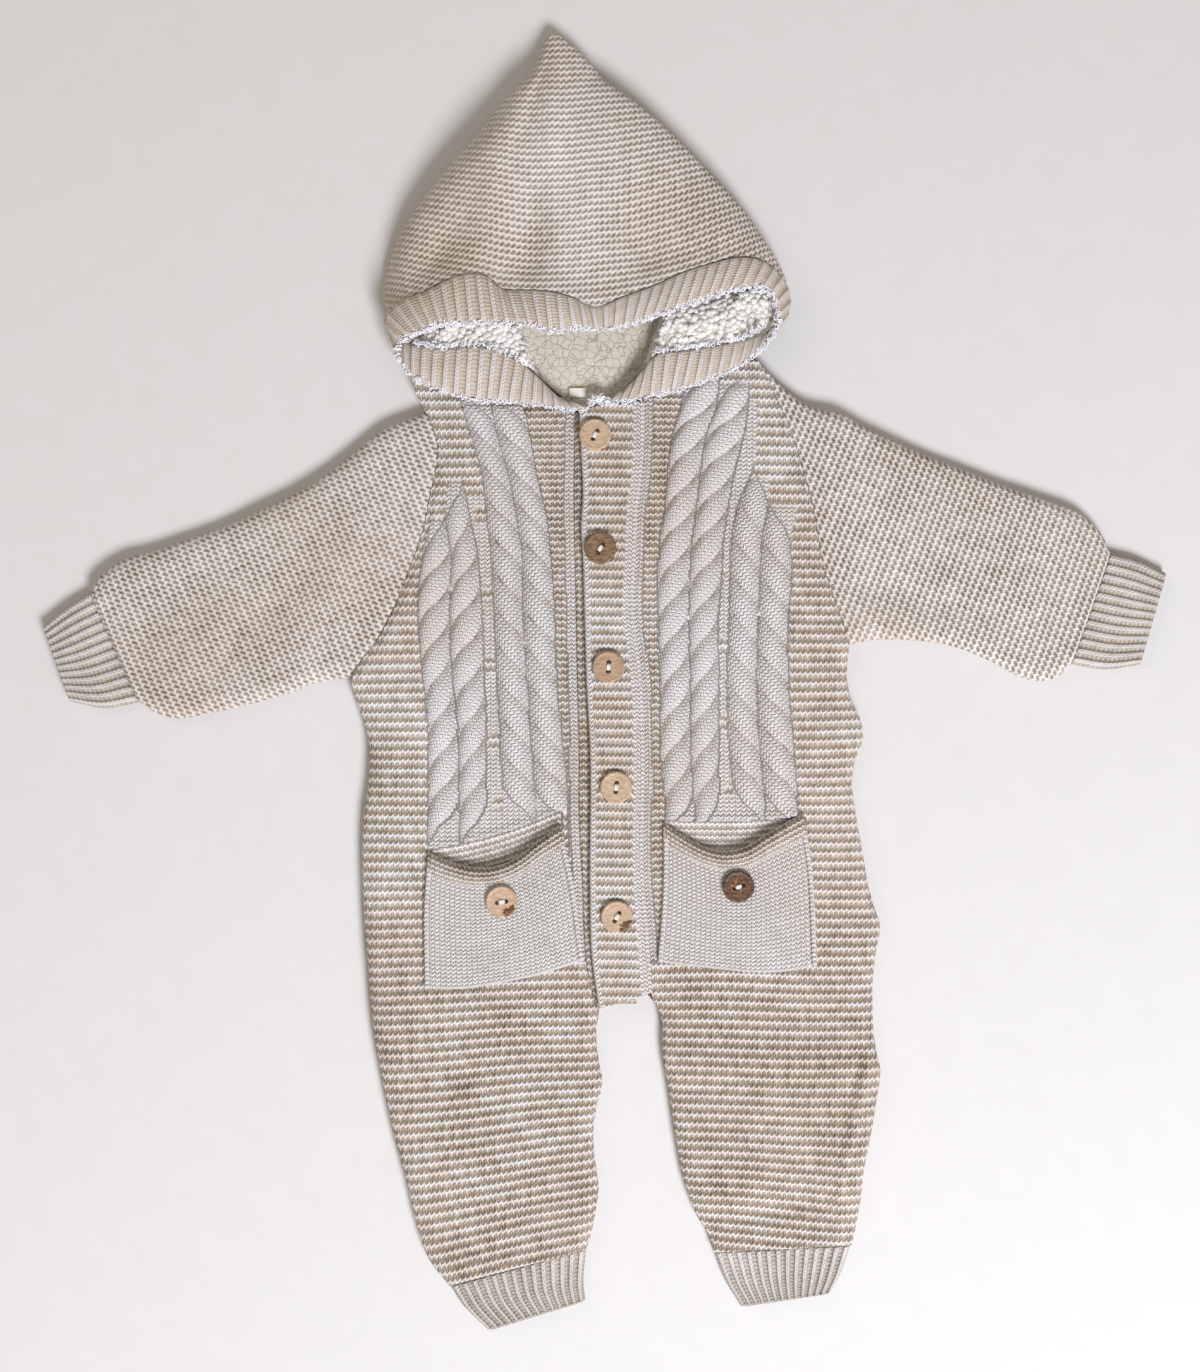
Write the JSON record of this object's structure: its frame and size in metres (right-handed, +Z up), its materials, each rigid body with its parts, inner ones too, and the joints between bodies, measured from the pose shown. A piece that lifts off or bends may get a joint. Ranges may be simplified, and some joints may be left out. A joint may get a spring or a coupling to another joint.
{
  "type": "baby romper",
  "caption": "Hooded knitted one-piece for a baby, laid flat with its front up: rope cables, garter stitch, ribbed cuffs, patch pockets, wooden buttons and a pile-lined hood.",
  "frame": {"origin": "on the surface it lies on, under the middle of its box", "axes": "+Y from the leg cuffs to the tip of the hood, +X to the viewer's right with the front up, +Z up from the surface"},
  "size_m": [0.6344, 0.7312, 0.0431],
  "materials": {
    "knit": "oatmeal melange cotton yarn, garter stitch and rope cables, matt and soft",
    "hood_knit": "the same melange yarn in garter stitch, a little warmer",
    "rib": "ribbed knit in the same yarn, matt",
    "pile": "cream curly pile with small tufts",
    "button_wood": "smooth coconut wood with fine grain, satin",
    "label_tape": "plain woven tape, bare"
  },
  "bodies": {
    "root": {"back_panel": "knit", "front_left": "knit", "front_right": "knit", "sleeve_left": "knit", "sleeve_right": "knit", "sleeve_cuff_left": "rib", "sleeve_cuff_right": "rib", "leg_cuff_left": "rib", "leg_cuff_right": "rib", "hood_shell": "hood_knit", "hood_band": "rib", "hood_lining": "pile", "placket_over": "knit", "placket_under": "knit", "pocket_left": "knit", "pocket_right": "knit", "button_1": "button_wood", "button_2": "button_wood", "button_3": "button_wood", "button_4": "button_wood", "button_5": "button_wood", "pocket_button_left": "button_wood", "pocket_button_right": "button_wood", "size_label": "label_tape"}
  },
  "joints": []
}
